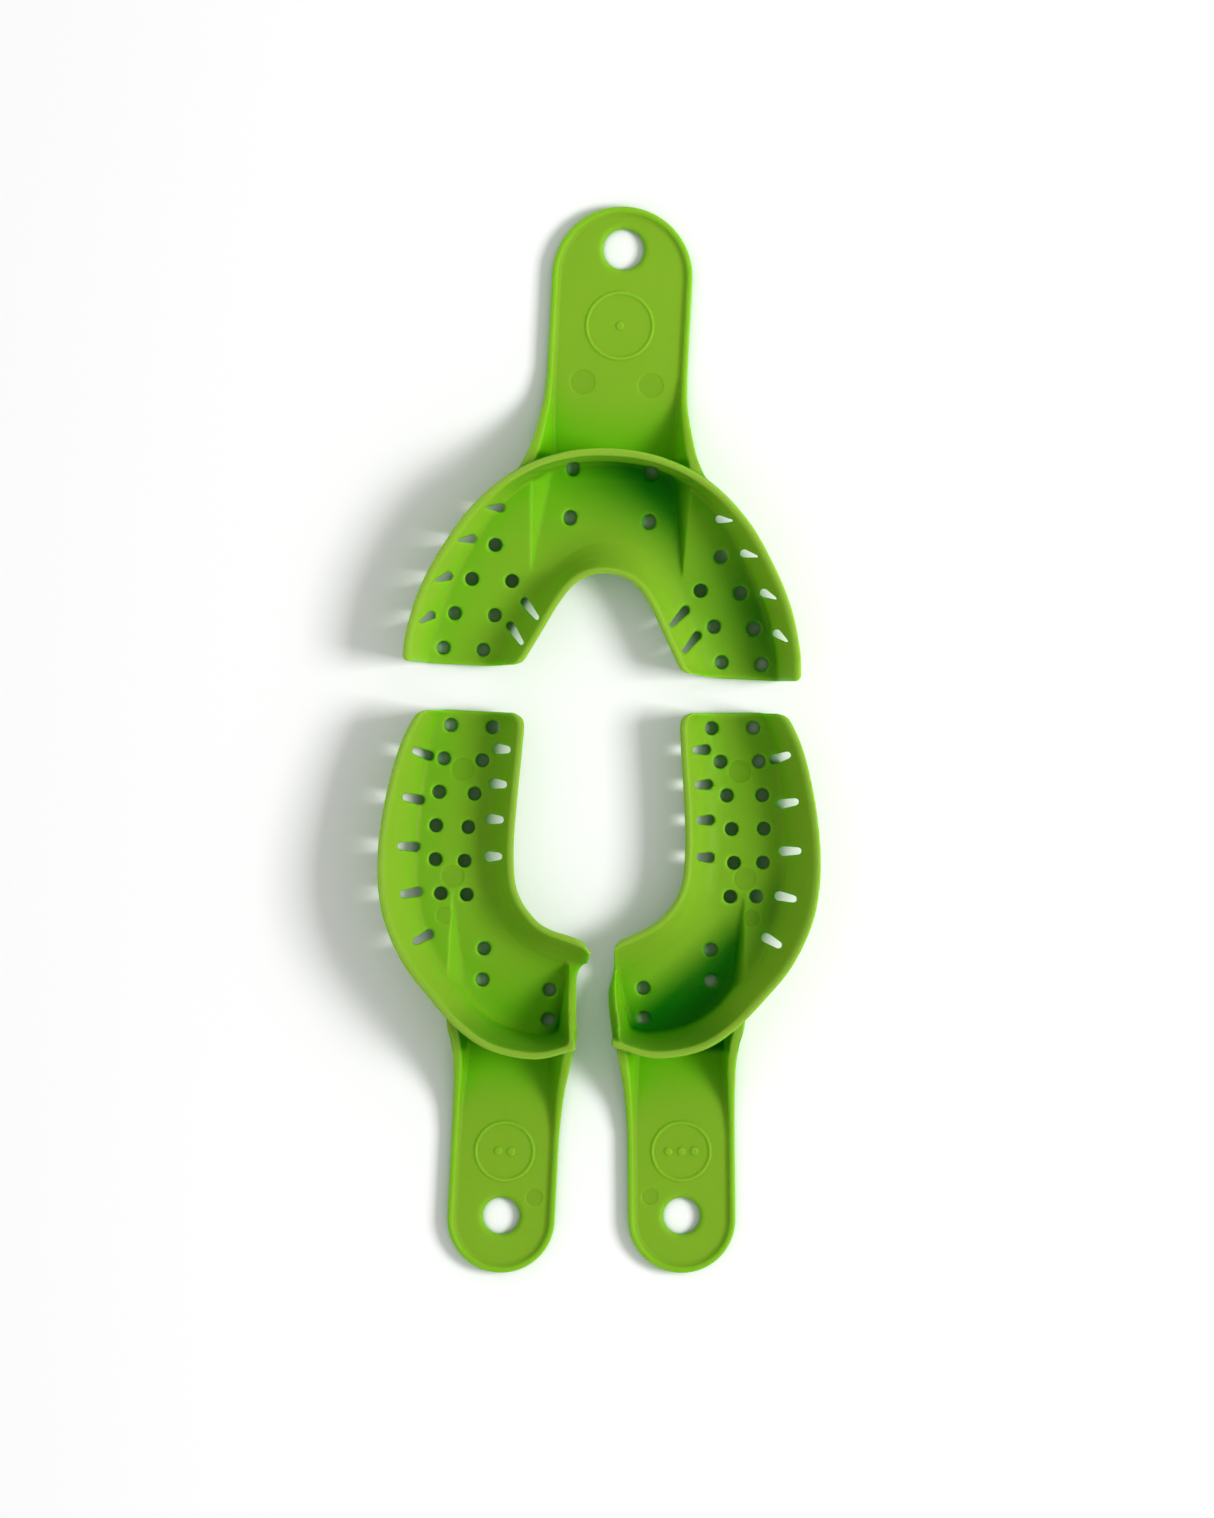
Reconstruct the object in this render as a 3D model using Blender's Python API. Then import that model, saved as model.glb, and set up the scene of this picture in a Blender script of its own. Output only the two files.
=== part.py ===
"""Perforated impression trays, lying trough up: one front tray and two mirrored quadrant trays.

Every tray is one moulding. It is modelled in its own frame, in millimetres: the origin is on the
table under the middle of the front rim, +Y runs to the handle tip, +Z is up. The trough is an outer
skin minus a cavity, the handle is a channel with gussets that climb to the rim, and all the
perforations are cut straight up, the way the mould opens. Buccal is the cheek side of a trough,
lingual the tongue side.
"""
import math

import bmesh
import bpy
import numpy as np
from mathutils import Matrix, Vector

MM = 0.001

# Thicknesses and heights shared by the three trays, in mm.
WALL = 1.5
WEB = 1.8
FRONT_RIM = 15.0
HEEL_RIM = 11.5
LINGUAL_RIM = 9.0
STEP_HEIGHT = 2.8
BORDER_HEIGHT = 2.55
BORDER_WIDTH = 1.05
GUSSET_WIDENING = 0.08
HANDLE_DRAFT = 0.5
END_LEAN = 0.16
PANEL_CURVE = 1.5

# How far cutters reach past what they cut, and how the walls run on below the floor, in mm.
ABOVE = 3.0
BELOW = -0.6
REACH = 45.0
END_SLACK = 0.05
UNDERCUT = 0.3
EASE = 1.15
SINK = 0.05

# Wall profiles as (share of the spread, share of the height) from the rim down to the floor.
OUTER_PROFILE = ((0.0, 1.0), (0.48, 0.40), (0.68, 0.13), (1.0, 0.0))
LINGUAL_PROFILE = ((0.0, 1.0), (0.32, 0.44), (0.65, 0.12), (1.0, 0.0))

# Perforations, in mm. Floor holes stand in rows across the trough. A family of wall slots is
# spaced along a rim edge from the heel; a slot starts at its wide end, at the foot of the wall.
HOLE = 2.35
PANEL_HOLE = 2.25
PANEL_HOLE_STRETCH = 0.4
HOLE_TOP = 5.6
SLOT_TOP = 13.0
FRONT_HOLES = {"first": -16.9, "pitch": -5.95, "count": 4, "inset": 8.4, "drift": 0.57, "gap": 6.8}
FRONT_PANEL_HOLES = ((6.7, -3.4), (6.7, -11.8))
FRONT_BUCCAL = {"first": 9.2, "pitch": 7.9, "stretch": 0.0, "count": 4, "inset": 3.4,
                "length": 2.2, "wide": 1.4, "narrow": 0.4, "lean": -38.0, "turn": 11.0}
FRONT_LINGUAL = {"first": 6.1, "pitch": 4.85, "stretch": 0.0, "count": 2, "inset": 5.35,
                 "length": 3.5, "wide": 1.5, "narrow": 0.8, "lean": -126.0, "turn": -4.0}
QUADRANT_HOLES = {"first": -55.8, "pitch": 5.72, "count": 6, "offset": -0.6, "spread": 3.55,
                  "narrowing": 0.27}
QUADRANT_PANEL_HOLES = ((5.3, -12.9), (5.3, -18.2), (-6.2, -6.7), (-6.2, -11.8))
QUADRANT_BUCCAL = {"first": 7.5, "pitch": 8.3, "stretch": 0.17, "count": 5, "inset": 2.9,
                   "length": 2.3, "wide": 1.65, "narrow": 1.25}
QUADRANT_LINGUAL = {"first": 7.1, "pitch": 5.95, "stretch": 0.0, "count": 4, "inset": 4.4,
                    "length": 1.6, "wide": 1.8, "narrow": 1.3}
ROUND_SIDES = 16
HANDLE_SIDES = 32
RING_HEIGHT = 0.25
RING_WIDTH = 0.65

STEPS_PER_SPAN = 2
TIP_STEPS = 12
TIP_TURN = 7.6
WELD = 0.002


# ---------------------------------------------------------------- shapes of the three trays

# A station row is the outer rim edge (x, y), the lingual rim edge (x, y), then how far the outer
# wall and the lingual wall spread inwards between rim and floor. Rows run from heel to heel, or
# from heel to midline.
FRONT_HALF = (
    (0.0, 0.0, 0.0, -21.2, 0.5, 8.8),
    (9.0, -1.2, 1.9, -21.4, 0.6, 8.4),
    (17.0, -4.9, 3.9, -22.2, 1.7, 7.2),
    (23.6, -11.0, 5.8, -23.8, 3.2, 6.0),
    (28.4, -18.4, 7.9, -26.9, 4.0, 6.0),
    (31.6, -25.2, 9.8, -30.5, 4.2, 6.0),
    (33.4, -32.0, 11.8, -34.2, 4.2, 5.8),
    (33.8, -36.0, 13.1, -36.4, 4.0, 5.5),
    (33.9, -37.6, 14.9, -37.6, 4.0, 5.5),
)
QUADRANT = (
    (17.6, -58.4, 1.8, -58.4, 3.4, 4.6),
    (19.2, -56.7, 0.3, -56.9, 3.6, 5.0),
    (21.4, -51.5, 0.3, -52.5, 4.4, 5.2),
    (23.2, -43.5, 0.7, -44.5, 5.8, 5.2),
    (24.1, -35.0, 0.9, -36.5, 7.0, 5.4),
    (23.8, -28.0, 0.4, -30.3, 7.4, 6.0),
    (22.3, -21.8, -0.7, -27.2, 7.2, 6.8),
    (18.9, -15.2, -2.2, -25.1, 6.4, 7.6),
    (14.2, -9.7, -4.2, -23.2, 5.4, 8.0),
    (9.0, -4.6, -6.3, -22.0, 4.8, 8.0),
    (3.4, -1.3, -8.1, -21.2, 4.6, 8.0),
    (-4.0, -0.2, -9.7, -20.5, 3.9, 8.0),
    (-9.8, -1.6, -10.9, -19.8, 3.0, 8.0),
    (-11.3, -2.1, -12.4, -17.8, 3.0, 8.0),
)


def mirrored_rows(half):
    """Full arch of stations from the half that starts on the midline."""
    left = [(-row[0], row[1], -row[2], row[3], row[4], row[5]) for row in reversed(half[1:])]
    return left + list(half)


class Tray:
    """The driving dimensions of one tray, in mm."""

    def __init__(self, rows, heels, panel, handle, gussets, marks):
        self.rows = rows
        self.open_heels = heels
        self.panel = panel
        self.handle = handle
        self.gussets = gussets
        self.marks = marks
        self.heel_y = min(row[1] for row in rows)


# The panel is the deep front part of the floor, level with the handle: (front edge of the side
# facet at the bottom, at the top), apex (x, y) where the step has died out, and flat_to, the y at
# which the panel starts to rise. A gusset row is (y, half width, height).
FRONT_TRAY = Tray(
    rows=mirrored_rows(FRONT_HALF),
    heels=2,
    panel={"foot_x": 9.6, "top_x": 13.8, "apex": (12.8, -21.0), "flat_to": -9.0, "sides": 2,
           "heel_flat": -33.4},
    handle={"half_width": 12.0, "tip": 41.7},
    gussets=(((-5.0, 16.4, 13.6), (-1.4, 14.6, 11.6), (2.0, 13.6, 8.4), (5.5, 12.8, 5.5),
              (9.0, 12.2, 3.5), (13.5, 12.0, BORDER_HEIGHT)),) * 2,
    marks={"hole_y": 34.4, "hole": 6.9, "ring_y": 21.4, "ring": 11.2},
)
QUADRANT_TRAY = Tray(
    rows=list(QUADRANT),
    heels=1,
    panel={"foot_x": 6.2, "top_x": 11.1, "apex": (11.1, -28.0), "flat_to": -14.0, "sides": 1,
           "heel_flat": -54.0},
    handle={"half_width": 9.2, "tip": 36.7},
    gussets=(((-12.5, 10.9, 13.0), (-6.0, 10.9, 13.0), (-2.0, 9.9, 10.6), (1.5, 9.4, 7.6),
              (5.0, 9.25, 5.0), (8.5, 9.2, 3.3), (13.0, 9.2, BORDER_HEIGHT)),
             ((-12.5, 9.6, 12.4), (-6.0, 11.2, 12.4), (-2.6, 11.0, 12.0), (0.9, 10.5, 9.0),
              (4.3, 9.9, 6.0), (8.0, 9.5, 3.7), (13.0, 9.2, BORDER_HEIGHT))),
    marks={"hole_y": 27.0, "hole": 6.2, "ring_y": 16.0, "ring": 9.8},
)


# ---------------------------------------------------------------- curves

def smooth_rows(rows, steps):
    """Rows of numbers on a Catmull-Rom curve through the given rows."""
    table = np.array(rows, dtype=float)
    before = 2 * table[0] - table[1]
    after = 2 * table[-1] - table[-2]
    padded = np.vstack([before, table, after])
    out = []
    for i in range(len(table) - 1):
        p0, p1, p2, p3 = padded[i:i + 4]
        for j in range(steps):
            t = j / steps
            bend = 2 * p0 - 5 * p1 + 4 * p2 - p3
            twist = 3 * p1 - p0 - 3 * p2 + p3
            out.append(0.5 * (2 * p1 + (p2 - p0) * t + bend * t * t + twist * t * t * t))
    out.append(table[-1])
    return out


def edge_x(rows, column, y):
    """The x of a rim edge at a given y, on the +X side of the tray."""
    points = [(row[column + 1], row[column]) for row in smooth_rows(rows, 4) if row[column] > -1]
    points.sort()
    return float(np.interp(y, [p[0] for p in points], [p[1] for p in points]))


def edge_frame(rows, column, distance):
    """Point at a distance along a rim edge from the heel, the plan direction out of the tray there,
    and how far the outer wall spreads."""
    path = np.array([(row[column], row[column + 1], row[4]) for row in smooth_rows(rows, 6)])
    lengths = np.concatenate([[0.0], np.cumsum(np.linalg.norm(np.diff(path[:, :2], axis=0), axis=1))])
    here, ahead = [np.array([np.interp(d, lengths, path[:, n]) for n in range(3)])
                   for d in (distance, distance + 0.5)]
    direction = (ahead - here)[:2]
    direction /= np.linalg.norm(direction)
    outward = np.array((direction[1], -direction[0])) * (1 if column == 0 else -1)
    return here[:2], outward, here[2]


def end_normal(row, neighbour):
    """Unit plan direction that points out of the trough at an end station."""
    row = np.array(row)
    neighbour = np.array(neighbour)
    across = row[2:4] - row[0:2]
    normal = np.array((across[1], -across[0])) / np.linalg.norm(across)
    outward = (row[0:2] + row[2:4]) - (neighbour[0:2] + neighbour[2:4])
    return normal if np.dot(normal, outward) > 0 else -normal


# ---------------------------------------------------------------- meshes

def new_object(name, bm, collection):
    """Turn a bmesh in mm into an object in metres, triangulated, with its faces pointing out."""
    bmesh.ops.triangulate(bm, faces=bm.faces, quad_method="FIXED")
    bmesh.ops.recalc_face_normals(bm, faces=bm.faces)
    if bm.calc_volume(signed=True) < 0:
        bmesh.ops.reverse_faces(bm, faces=bm.faces)
    bmesh.ops.scale(bm, vec=(MM, MM, MM), verts=bm.verts)
    mesh = bpy.data.meshes.new(name)
    bm.to_mesh(mesh)
    bm.free()
    item = bpy.data.objects.new(name, mesh)
    collection.objects.link(item)
    return item


def add_loft(bm, rings):
    """Closed solid through rings of points, with flat ends."""
    rows = [[bm.verts.new(point) for point in ring] for ring in rings]
    count = len(rows[0])
    for first, second in zip(rows, rows[1:]):
        for i in range(count):
            j = (i + 1) % count
            bm.faces.new((first[i], first[j], second[j], second[i]))
    bm.faces.new(rows[0])
    bm.faces.new(list(reversed(rows[-1])))


def add_prism(bm, outline, bottom, top):
    """Upright prism on a closed outline."""
    add_loft(bm, [[(x, y, z) for x, y in outline] for z in (bottom, top)])


def circle(cx, cy, radius, sides):
    """Points on a circle."""
    steps = [2 * math.pi * (i + 0.3) / sides for i in range(sides)]
    return [(cx + radius * math.cos(a), cy + radius * math.sin(a)) for a in steps]


def tapered_slot(start, direction, length, wide, narrow):
    """Outline of a slot from the centre of its wide end, with round ends of two widths."""
    turn = math.atan2(direction[1], direction[0])
    steps = ROUND_SIDES // 2
    points = []
    for shift, radius, first in ((length, narrow / 2, -math.pi / 2), (0.0, wide / 2, math.pi / 2)):
        for i in range(steps + 1):
            a = first + math.pi * i / steps
            x = shift + radius * math.cos(a)
            y = radius * math.sin(a)
            points.append((start[0] + x * math.cos(turn) - y * math.sin(turn),
                           start[1] + x * math.sin(turn) + y * math.cos(turn)))
    return points


# ---------------------------------------------------------------- the trough

def rim_height(tray, y, front):
    """Height of the outer rim, which falls from the front to the heel."""
    return front - (FRONT_RIM - HEEL_RIM) * min(max(y / tray.heel_y, 0.0), 1.0)


def section(tray, row, inset, top, floor):
    """One closed section of the trough across the station, either the skin or the cavity."""
    outer = np.array(row[0:2])
    lingual = np.array(row[2:4])
    width = np.linalg.norm(lingual - outer)
    across = (lingual - outer) / width
    heights = (rim_height(tray, outer[1], FRONT_RIM), LINGUAL_RIM)
    left = []
    right = []
    for profile, spread, height, side in ((OUTER_PROFILE, row[4], heights[0], left),
                                          (LINGUAL_PROFILE, row[5], heights[1], right)):
        for share, rise in profile:
            side.append((inset + share * spread, floor + rise * (height - floor)))
        (s0, z0), (s1, z1) = side[-2:]
        side.append((s1 + EASE * (s1 - s0) * UNDERCUT / (z0 - z1), z1 - UNDERCUT))
    profile = left + [(width - s, z) for s, z in reversed(right)]
    if top:
        profile = [(profile[0][0], profile[0][1] + top)] + profile
        profile.append((profile[-1][0], profile[-1][1] + top))
    return [(*(outer + s * across), z) for s, z in profile]


def past_heel(row, reach):
    """A copy of the last station, moved backwards out of the open heel."""
    return (row[0], row[1] - reach, row[2], row[3] - reach, row[4], row[5])


def floor_height(tray, x, y):
    """Height of the trough floor: a deep front panel, side facets and the raised rear floor."""
    panel = tray.panel
    apex_y = panel["apex"][1]
    fall = min(max((y - panel["heel_flat"]) / (panel["flat_to"] - panel["heel_flat"]), 0.0), 1.0)
    rear = WEB + STEP_HEIGHT * fall
    apex_fall = (apex_y - panel["heel_flat"]) / (panel["flat_to"] - panel["heel_flat"])
    rise = min(max((panel["flat_to"] - y) / (panel["flat_to"] - apex_y), 0.0), 1.0)
    deep = WEB + STEP_HEIGHT * apex_fall * rise ** PANEL_CURVE
    if y < apex_y:
        return rear
    if panel["sides"] == 1 and x < 0:
        return deep
    share = (y - apex_y) / -apex_y
    foot = panel["apex"][0] + (panel["foot_x"] - panel["apex"][0]) * share
    top = panel["apex"][0] + (panel["top_x"] - panel["apex"][0]) * share
    across = min(max((abs(x) - foot) / max(top - foot, 0.001), 0.0), 1.0)
    return deep + (max(rear, deep) - deep) * across


def floor_solid(name, tray, drop, collection):
    """Everything above the floor, used to trim the skin and the cavity."""
    panel = tray.panel
    apex_x, apex_y = panel["apex"]
    curve = [panel["flat_to"] + (apex_y - panel["flat_to"]) * i / 4 for i in range(4)]
    grid = []
    for y in [2 * ABOVE] + curve + [apex_y, panel["heel_flat"], tray.heel_y - 2 * ABOVE]:
        share = max((y - apex_y) / -apex_y, 0.0)
        foot = apex_x + (panel["foot_x"] - apex_x) * share
        top = apex_x + (panel["top_x"] - apex_x) * share + 0.02
        columns = [-REACH, foot, top, REACH]
        if panel["sides"] == 2:
            columns = [-REACH, -top, -foot, foot, top, REACH]
        grid.append([(x, y, floor_height(tray, x, y) - drop) for x in columns])
    bm = bmesh.new()
    low = [[bm.verts.new(point) for point in line] for line in grid]
    high = [[bm.verts.new((x, y, 2 * FRONT_RIM)) for x, y, z in line] for line in grid]
    rows = len(low)
    cols = len(low[0])
    for i in range(rows - 1):
        for j in range(cols - 1):
            bm.faces.new((low[i][j], low[i][j + 1], low[i + 1][j + 1], low[i + 1][j]))
            bm.faces.new((high[i][j], high[i][j + 1], high[i + 1][j + 1], high[i + 1][j]))
        for j in (0, cols - 1):
            bm.faces.new((low[i][j], low[i + 1][j], high[i + 1][j], high[i][j]))
    for i in (0, rows - 1):
        for j in range(cols - 1):
            bm.faces.new((low[i][j], low[i][j + 1], high[i][j + 1], high[i][j]))
    return new_object(name, bm, collection)


def trough_solid(name, tray, cavity, collection):
    """The skin of the trough as one solid, or the cavity inside it."""
    rows = list(tray.rows)
    if cavity:
        rows.insert(0, past_heel(rows[0], ABOVE))
        if tray.open_heels == 2:
            rows.append(past_heel(rows[-1], ABOVE))
    bm = bmesh.new()
    stations = smooth_rows(rows, STEPS_PER_SPAN)
    if cavity:
        rings = [section(tray, row, WALL, ABOVE, WEB - SINK) for row in stations]
    else:
        rings = [section(tray, row, 0.0, 0.0, -SINK) for row in stations]
    add_loft(bm, rings)
    return new_object(name, bm, collection)


def end_solid(name, tray, inset, collection):
    """Everything beyond the leaning end wall of a quadrant tray, or beyond its inner face."""
    last = np.array(tray.rows[-1])
    normal = end_normal(last, tray.rows[-2])
    along = np.array((-normal[1], normal[0]))
    middle = (last[0:2] + last[2:4]) / 2
    rim = rim_height(tray, last[1], FRONT_RIM)
    bm = bmesh.new()
    rings = []
    for reach in (0.0, REACH / 2):
        ring = []
        for side, z in ((-REACH, -ABOVE), (REACH, -ABOVE), (REACH, 2 * FRONT_RIM), (-REACH, 2 * FRONT_RIM)):
            out = reach - inset - END_SLACK - END_LEAN * (rim - z)
            ring.append((*(middle + side * along + out * normal), z))
        rings.append(ring)
    add_loft(bm, rings)
    return new_object(name, bm, collection)


# ---------------------------------------------------------------- the handle

def handle_rings(tray, cavity):
    """Sections of the handle channel from inside the front wall to the round tip."""
    half = tray.handle["half_width"]
    base = WEB if cavity else 0.0
    lift = ABOVE if cavity else 0.0
    rings = []
    for right, left in zip(*tray.gussets):
        insets = [BORDER_WIDTH + GUSSET_WIDENING * (row[2] - BORDER_HEIGHT) if cavity else 0.0
                  for row in (left, right)]
        feet = [half - HANDLE_DRAFT - inset for inset in insets]
        rings.append([(insets[0] - left[1], right[0], left[2] + lift), (-feet[0], right[0], base),
                      (feet[1], right[0], base), (right[1] - insets[1], right[0], right[2] + lift)])
    if cavity:
        rings.insert(0, [(x, y - 1.0, z) for x, y, z in rings[0]])
    centre = tray.handle["tip"] - half
    radius = half - (BORDER_WIDTH if cavity else 0.0)
    for i in range(TIP_STEPS):
        a = math.radians(TIP_TURN * i)
        y = centre + radius * math.sin(a)
        x = radius * math.cos(a)
        foot = x * (radius - HANDLE_DRAFT) / radius
        rings.append([(-x, y, BORDER_HEIGHT + lift), (-foot, y, base), (foot, y, base),
                      (x, y, BORDER_HEIGHT + lift)])
    return rings


def handle_solid(name, tray, cavity, collection):
    """Outside of the handle channel, or the space above its web."""
    bm = bmesh.new()
    add_loft(bm, handle_rings(tray, cavity))
    return new_object(name, bm, collection)


def ring_solid(name, tray, collection):
    """Raised size ring on the handle web, sunk a little into it."""
    outer = circle(0.0, tray.marks["ring_y"], tray.marks["ring"] / 2 + RING_WIDTH / 2, HANDLE_SIDES)
    inner = circle(0.0, tray.marks["ring_y"], tray.marks["ring"] / 2 - RING_WIDTH / 2, HANDLE_SIDES)
    bm = bmesh.new()
    loops = []
    for outline, z in ((outer, WEB - RING_HEIGHT), (outer, WEB + RING_HEIGHT),
                       (inner, WEB + RING_HEIGHT), (inner, WEB - RING_HEIGHT)):
        loops.append([bm.verts.new((x, y, z)) for x, y in outline])
    for first, second in zip(loops, loops[1:] + loops[:1]):
        for i in range(HANDLE_SIDES):
            j = (i + 1) % HANDLE_SIDES
            bm.faces.new((first[i], first[j], second[j], second[i]))
    return new_object(name, bm, collection)


# ---------------------------------------------------------------- perforations

def wall_slots(rows, column, family, share):
    """Starts and directions of one family of slots, set in from a rim edge. The inset grows by the
    given share of the outer wall's spread."""
    slots = []
    for i in range(family["count"]):
        distance = family["first"] + family["pitch"] * i + family["stretch"] * i * i
        point, outward, spread = edge_frame(rows, column, distance)
        direction = outward
        if "lean" in family:
            lean = math.radians(family["lean"] + family["turn"] * i)
            direction = np.array((math.cos(lean), math.sin(lean)))
        slots.append((point - (family["inset"] + share * spread) * outward, direction))
    return slots


def front_perforations(tray):
    """Outlines of the floor holes and the wall slots of the front tray, on both sides."""
    holes = []
    slots = []
    for sign in (-1, 1):
        for i in range(FRONT_HOLES["count"]):
            y = FRONT_HOLES["first"] + FRONT_HOLES["pitch"] * i
            x = edge_x(tray.rows, 0, y) - FRONT_HOLES["inset"] + FRONT_HOLES["drift"] * i
            holes.append(circle(sign * x, y, HOLE / 2, ROUND_SIDES))
            if i > 0:
                holes.append(circle(sign * (x - FRONT_HOLES["gap"]), y, HOLE / 2, ROUND_SIDES))
        for x, y in FRONT_PANEL_HOLES:
            holes.append(tapered_slot((sign * x, y), (0, 1), PANEL_HOLE_STRETCH, PANEL_HOLE, PANEL_HOLE))
        for column, family in ((0, FRONT_BUCCAL), (2, FRONT_LINGUAL)):
            for start, direction in wall_slots(tray.rows[::-1], column, family, 0.0):
                slots.append(tapered_slot((sign * start[0], start[1]), (sign * direction[0], direction[1]),
                                          family["length"], family["wide"], family["narrow"]))
    return holes, slots


def quadrant_perforations(tray):
    """Outlines of the floor holes and the wall slots of a quadrant tray."""
    holes = []
    slots = []
    for i in range(QUADRANT_HOLES["count"]):
        y = QUADRANT_HOLES["first"] + QUADRANT_HOLES["pitch"] * i
        middle = (edge_x(tray.rows, 0, y) + edge_x(tray.rows, 2, y)) / 2 + QUADRANT_HOLES["offset"]
        spread = QUADRANT_HOLES["spread"] - QUADRANT_HOLES["narrowing"] * i
        for x in (middle - spread, middle + spread):
            holes.append(circle(x, y, HOLE / 2, ROUND_SIDES))
    for x, y in QUADRANT_PANEL_HOLES:
        holes.append(circle(x, y, HOLE / 2, ROUND_SIDES))
    for column, family, share in ((0, QUADRANT_BUCCAL, 0.5), (2, QUADRANT_LINGUAL, 0.0)):
        for start, direction in wall_slots(tray.rows, column, family, share):
            slots.append(tapered_slot(start, direction, family["length"], family["wide"], family["narrow"]))
    return holes, slots


def perforation_solid(name, tray, collection):
    """All the upright cutters of one tray in a single mesh."""
    perforations = front_perforations if tray.open_heels == 2 else quadrant_perforations
    holes, slots = perforations(tray)
    holes.append(circle(0.0, tray.marks["hole_y"], tray.marks["hole"] / 2, HANDLE_SIDES))
    bm = bmesh.new()
    for outline in holes:
        add_prism(bm, outline, BELOW, HOLE_TOP)
    for outline in slots:
        add_prism(bm, outline, BELOW, SLOT_TOP)
    return new_object(name, bm, collection)


# ---------------------------------------------------------------- assembly

def add_boolean(item, operation, other):
    """Boolean with the exact solver, then a weld that closes its hairline cracks."""
    modifier = item.modifiers.new(operation.lower(), "BOOLEAN")
    modifier.operation = operation
    modifier.solver = "EXACT"
    modifier.object = other
    other.hide_render = True
    other.display_type = "WIRE"
    weld = item.modifiers.new("weld", "WELD")
    weld.merge_threshold = WELD * MM


def plastic(name, colour):
    """Satin lime plastic."""
    material = bpy.data.materials.new(name)
    material.use_nodes = True
    shader = material.node_tree.nodes["Principled BSDF"]
    shader.inputs["Base Color"].default_value = (*colour, 1.0)
    shader.inputs["Roughness"].default_value = 0.38
    shader.inputs["Metallic"].default_value = 0.0
    return material


def build_tray(name, tray, place, turn, mirror, material, parts, cutters):
    """One tray object with its cutters, put on the table at place (mm), turned by turn degrees."""
    channel = handle_solid(name, tray, False, parts)
    pieces = {
        "channel_space": handle_solid(name + "_channel_space", tray, True, cutters),
        "skin": trough_solid(name + "_skin", tray, False, cutters),
        "skin_floor": floor_solid(name + "_skin_floor", tray, WEB, cutters),
        "cavity": trough_solid(name + "_cavity", tray, True, cutters),
        "cavity_floor": floor_solid(name + "_cavity_floor", tray, 0.0, cutters),
        "ring": ring_solid(name + "_ring", tray, cutters),
        "perforations": perforation_solid(name + "_perforations", tray, cutters),
    }
    if tray.open_heels == 1:
        pieces["end"] = end_solid(name + "_end", tray, 0.0, cutters)
        pieces["inner_end"] = end_solid(name + "_inner_end", tray, WALL, cutters)
        add_boolean(pieces["skin"], "DIFFERENCE", pieces["end"])
        add_boolean(pieces["cavity"], "DIFFERENCE", pieces["inner_end"])
    add_boolean(pieces["skin"], "INTERSECT", pieces["skin_floor"])
    add_boolean(pieces["cavity"], "INTERSECT", pieces["cavity_floor"])
    add_boolean(channel, "DIFFERENCE", pieces["channel_space"])
    add_boolean(channel, "UNION", pieces["skin"])
    add_boolean(channel, "DIFFERENCE", pieces["cavity"])
    add_boolean(channel, "UNION", pieces["ring"])
    add_boolean(channel, "DIFFERENCE", pieces["perforations"])
    channel.data.materials.append(material)
    for item in [channel] + list(pieces.values()):
        if mirror:
            item.data.transform(Matrix.Scale(-1, 4, Vector((1, 0, 0))))
            item.data.flip_normals()
        item.location = (place[0] * MM, place[1] * MM, 0.0)
        item.rotation_euler = (0.0, 0.0, math.radians(turn))
    return channel


def centre_on_origin(items, followers):
    """Move the whole set so that its bounding box stands centred on the origin."""
    bpy.context.view_layer.update()
    graph = bpy.context.evaluated_depsgraph_get()
    points = []
    for item in items:
        evaluated = item.evaluated_get(graph)
        points += [evaluated.matrix_world @ vertex.co for vertex in evaluated.data.vertices]
    shift = [(min(p[i] for p in points) + max(p[i] for p in points)) / 2 for i in (0, 1)]
    for item in followers:
        item.location.x -= shift[0]
        item.location.y -= shift[1]


def main():
    for item in list(bpy.data.objects):
        bpy.data.objects.remove(item, do_unlink=True)
    parts = bpy.context.scene.collection
    cutters = bpy.data.collections.new("cutters")
    parts.children.link(cutters)
    colour = (0.19, 0.47, 0.025)
    trays = [
        build_tray("anterior_tray", FRONT_TRAY, (2.5, 49.3), -3.0, False,
                   plastic("anterior_plastic", colour), parts, cutters),
        build_tray("left_quadrant_tray", QUADRANT_TRAY, (-15.1, -53.5), 177.0, False,
                   plastic("left_quadrant_plastic", colour), parts, cutters),
        build_tray("right_quadrant_tray", QUADRANT_TRAY, (13.9, -53.5), 180.5, True,
                   plastic("right_quadrant_plastic", colour), parts, cutters),
    ]
    centre_on_origin(trays, [item for item in bpy.data.objects if item.type == "MESH"])


main()
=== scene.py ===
"""Looks for three perforated impression trays, lying trough up on a pale floor.

Every tray is one moulding, so it is shaped as one distance field (negative inside the plastic) on a
fine grid, which gives every rim, fillet and hole edge a true radius. The field is turned into a
mesh, put on its CAD node and painted with a procedural satin plastic. Shapes are in millimetres in
each tray's own frame: the origin is under the middle of the front rim, +Y runs to the handle tip.
"""
import math

import bmesh
import bpy
import numpy as np
from mathutils import Matrix, Vector

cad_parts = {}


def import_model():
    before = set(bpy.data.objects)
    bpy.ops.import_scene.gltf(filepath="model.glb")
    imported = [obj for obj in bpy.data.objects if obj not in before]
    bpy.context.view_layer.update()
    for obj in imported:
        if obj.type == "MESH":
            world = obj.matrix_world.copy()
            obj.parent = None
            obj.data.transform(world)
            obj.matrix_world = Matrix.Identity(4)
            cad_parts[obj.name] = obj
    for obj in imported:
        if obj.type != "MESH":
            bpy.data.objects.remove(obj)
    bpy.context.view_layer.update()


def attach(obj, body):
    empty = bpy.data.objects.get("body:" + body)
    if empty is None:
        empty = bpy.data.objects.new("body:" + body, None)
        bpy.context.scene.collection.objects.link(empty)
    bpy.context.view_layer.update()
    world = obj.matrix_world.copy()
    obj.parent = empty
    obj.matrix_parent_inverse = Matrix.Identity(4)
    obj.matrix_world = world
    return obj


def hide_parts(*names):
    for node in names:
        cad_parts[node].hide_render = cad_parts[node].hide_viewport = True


MM = 0.001

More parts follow.
